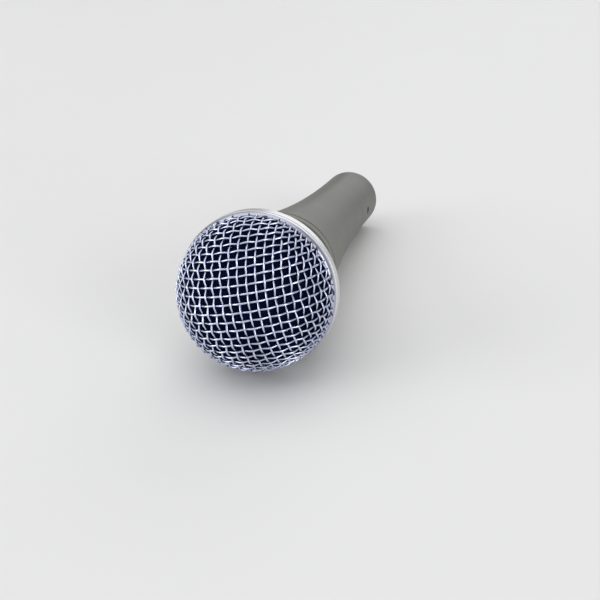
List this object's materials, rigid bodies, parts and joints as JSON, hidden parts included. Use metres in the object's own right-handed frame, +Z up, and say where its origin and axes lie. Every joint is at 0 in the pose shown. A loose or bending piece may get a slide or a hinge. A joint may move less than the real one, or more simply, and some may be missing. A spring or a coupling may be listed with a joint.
{
  "type": "dynamic microphone",
  "caption": "Handheld dynamic vocal microphone with a screw-off woven wire ball grille, a sprung capsule, a tapered metal handle and a 3-pin XLR socket, lying on its side.",
  "frame": {"origin": "on the table, under the middle of the microphone's outer box as it lies on its side", "axes": "+Z up; the long axis runs along Y, with the ball towards -Y, 6.06 degrees higher than the connector towards +Y"},
  "size_m": [0.051, 0.1622, 0.0512],
  "materials": {
    "enamel": "satin enamel",
    "grille_wire": "bright plated wire",
    "band_steel": "satin plated",
    "foam": "open-cell foam",
    "black_plastic": "satin moulding",
    "silver_plate": "silver plated",
    "zinc_steel": "zinc plated",
    "soft_iron": "satin",
    "magnet_alloy": "ground",
    "copper": "enamelled wire",
    "resin": "set adhesive",
    "green_pvc": "smooth",
    "red_pvc": "smooth",
    "blue_pvc": "smooth",
    "yellow_pvc": "smooth",
    "rubber": "matte",
    "aluminium": "spun",
    "circuit_board": "laminate",
    "felt": "pressed felt",
    "film": "clear film"
  },
  "bodies": {
    "handle": {"handle_shell": "enamel", "xlr_insert": "black_plastic", "xlr_pin_1": "silver_plate", "xlr_pin_2": "silver_plate", "xlr_pin_3": "silver_plate", "insert_set_screw": "zinc_steel", "ground_contact": "silver_plate", "transformer_core": "soft_iron", "transformer_bobbin": "black_plastic", "transformer_winding": "copper", "transformer_potting": "resin", "lead_ground": "green_pvc", "lead_hot": "red_pvc", "lead_cold": "blue_pvc", "capsule_lead_a": "yellow_pvc", "capsule_lead_b": "green_pvc", "shock_mount": "rubber"},
    "capsule": {"capsule_housing": "black_plastic", "rear_chamber": "aluminium", "terminal_board": "circuit_board", "felt_ring": "felt", "magnet_yoke": "soft_iron", "magnet": "magnet_alloy", "pole_piece": "soft_iron", "diaphragm_clamp": "black_plastic", "resonator_cap": "black_plastic", "capsule_screen": "zinc_steel"},
    "moving_coil": {"diaphragm": "film", "voice_coil": "copper"},
    "rear_liner": {"foam_skirt": "foam"},
    "grille": {"grille_dome": "grille_wire", "grille_band": "band_steel", "grille_skirt": "grille_wire", "grille_collar": "enamel", "foam_dome": "foam"}
  },
  "joints": [
    {"name": "thread_travel", "type": "slide", "parent": "handle", "child": "rear_liner", "axis": [0, -0.9944, 0.1055], "range_m": [0, 0.0075]},
    {"name": "grille_turn", "type": "hinge", "parent": "rear_liner", "child": "grille", "pos_m": [0, -0.05607, 0.02582], "axis": [0, -0.9944, 0.1055], "range_deg": [0, 1800]},
    {"name": "capsule_float", "type": "slide", "parent": "handle", "child": "capsule", "axis": [0, -0.9944, 0.1055], "range_m": [-0.001, 0.001], "stiffness_N_per_m": 2500},
    {"name": "diaphragm_travel", "type": "slide", "parent": "capsule", "child": "moving_coil", "axis": [0, -0.9944, 0.1055], "range_m": [-0.0002, 0.0002], "stiffness_N_per_m": 400}
  ],
  "couplings": [
    {"joint": "thread_travel", "follows": "grille_turn", "m_per_rad": 0.00023873}
  ]
}
